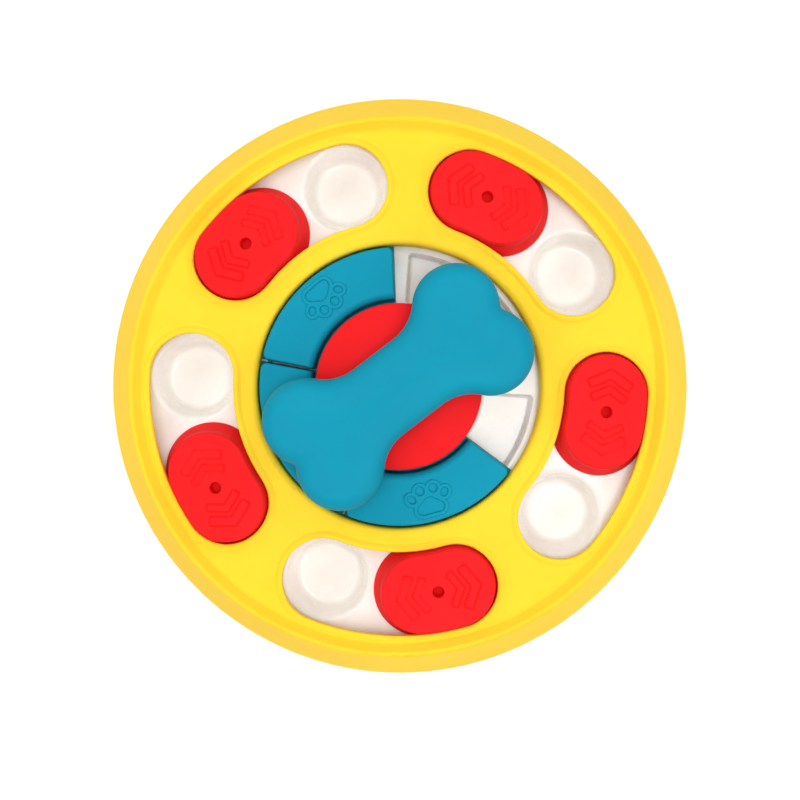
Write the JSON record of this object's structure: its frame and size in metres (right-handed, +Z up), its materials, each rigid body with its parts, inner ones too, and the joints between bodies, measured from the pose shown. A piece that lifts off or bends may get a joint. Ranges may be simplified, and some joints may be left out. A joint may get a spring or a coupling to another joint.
{
  "type": "dog puzzle feeder toy",
  "caption": "Round treat board for dogs: wells under red sliding lids, curved compartments under sector lids that run round a middle dome, and a bone on the dome that turns.",
  "frame": {"origin": "centre of the round footprint, on the floor under the rubber feet", "axes": "+Z up through the bone, +X to the right and +Y away from someone who stands in front"},
  "size_m": [0.25, 0.25, 0.046],
  "materials": {
    "yellow_cover": "satin moulded",
    "white_tray": "glossy moulded",
    "red_plastic": "satin moulded",
    "teal_plastic": "satin moulded",
    "screw_steel": "zinc plated",
    "foot_rubber": "matte, pale grey"
  },
  "bodies": {
    "base": {"top_cover": "yellow_cover", "treat_tray": "white_tray", "case_screws": "screw_steel", "rubber_foot_1": "foot_rubber", "rubber_foot_2": "foot_rubber", "rubber_foot_3": "foot_rubber", "rubber_foot_4": "foot_rubber", "rubber_foot_5": "foot_rubber"},
    "slide_lid_1": {"slider_1": "red_plastic"},
    "slide_lid_2": {"slider_2": "red_plastic"},
    "slide_lid_3": {"slider_3": "red_plastic"},
    "slide_lid_4": {"slider_4": "red_plastic"},
    "slide_lid_5": {"slider_5": "red_plastic"},
    "sector_lid_1": {"wedge_cover_1": "teal_plastic"},
    "sector_lid_2": {"wedge_cover_2": "teal_plastic"},
    "sector_lid_3": {"wedge_cover_3": "teal_plastic"},
    "spinner": {"hub_dome": "red_plastic", "bone_top": "teal_plastic", "bone_base": "teal_plastic", "bone_screws": "screw_steel", "pivot_screw": "screw_steel", "pivot_washer": "screw_steel"}
  },
  "joints": [
    {"name": "slider_1_swing", "type": "hinge", "parent": "base", "child": "slide_lid_1", "pos_m": [0, 0, 0.014], "axis": [0, 0, 1], "range_deg": [-27.1, 0]},
    {"name": "slider_2_swing", "type": "hinge", "parent": "base", "child": "slide_lid_2", "pos_m": [0, 0, 0.014], "axis": [0, 0, 1], "range_deg": [-27.1, 0]},
    {"name": "slider_3_swing", "type": "hinge", "parent": "base", "child": "slide_lid_3", "pos_m": [0, 0, 0.014], "axis": [0, 0, 1], "range_deg": [-27.1, 0]},
    {"name": "slider_4_swing", "type": "hinge", "parent": "base", "child": "slide_lid_4", "pos_m": [0, 0, 0.014], "axis": [0, 0, 1], "range_deg": [-27.1, 0]},
    {"name": "slider_5_swing", "type": "hinge", "parent": "base", "child": "slide_lid_5", "pos_m": [0, 0, 0.014], "axis": [0, 0, 1], "range_deg": [-27.1, 0]},
    {"name": "sector_1_turn", "type": "hinge", "parent": "base", "child": "sector_lid_1", "pos_m": [0, 0, 0.012], "axis": [0, 0, 1], "continuous": true},
    {"name": "sector_2_apart", "type": "hinge", "parent": "sector_lid_1", "child": "sector_lid_2", "pos_m": [0, 0, 0.012], "axis": [0, 0, 1], "range_deg": [0, 62]},
    {"name": "sector_3_apart", "type": "hinge", "parent": "sector_lid_2", "child": "sector_lid_3", "pos_m": [0, 0, 0.012], "axis": [0, 0, 1], "range_deg": [0, 62]},
    {"name": "bone_spin", "type": "hinge", "parent": "base", "child": "spinner", "pos_m": [0, 0, 0.02], "axis": [0, 0, 1], "continuous": true}
  ]
}
